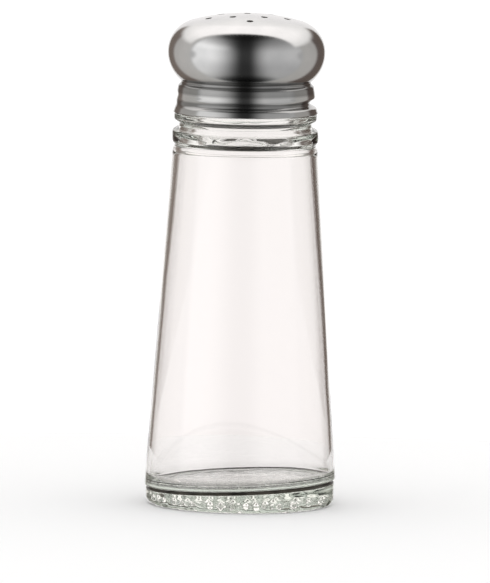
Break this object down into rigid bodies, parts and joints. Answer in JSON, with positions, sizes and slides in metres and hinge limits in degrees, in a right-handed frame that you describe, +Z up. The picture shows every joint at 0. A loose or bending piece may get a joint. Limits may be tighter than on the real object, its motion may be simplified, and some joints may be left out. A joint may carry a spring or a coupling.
{
  "type": "table shaker",
  "caption": "Tapered clear glass table shaker for salt or pepper, with a thick stippled base and a pierced steel mushroom cap that comes off.",
  "frame": {"origin": "centre of the jar's resting face, on the table", "axes": "+Z up along the jar's axis; +X to the right and -Y towards the viewer"},
  "size_m": [0.0444, 0.0444, 0.1143],
  "materials": {
    "clear_glass": "clear pressed soda-lime glass, fire-polished",
    "stainless_steel": "polished stainless sheet"
  },
  "bodies": {
    "jar": {"glass_jar": "clear_glass"},
    "cap": {"mushroom_cap": "stainless_steel"}
  },
  "joints": [
    {"name": "cap_lift", "type": "slide", "parent": "jar", "child": "cap", "axis": [0, 0, 1], "range_m": [0, 0.03]}
  ]
}
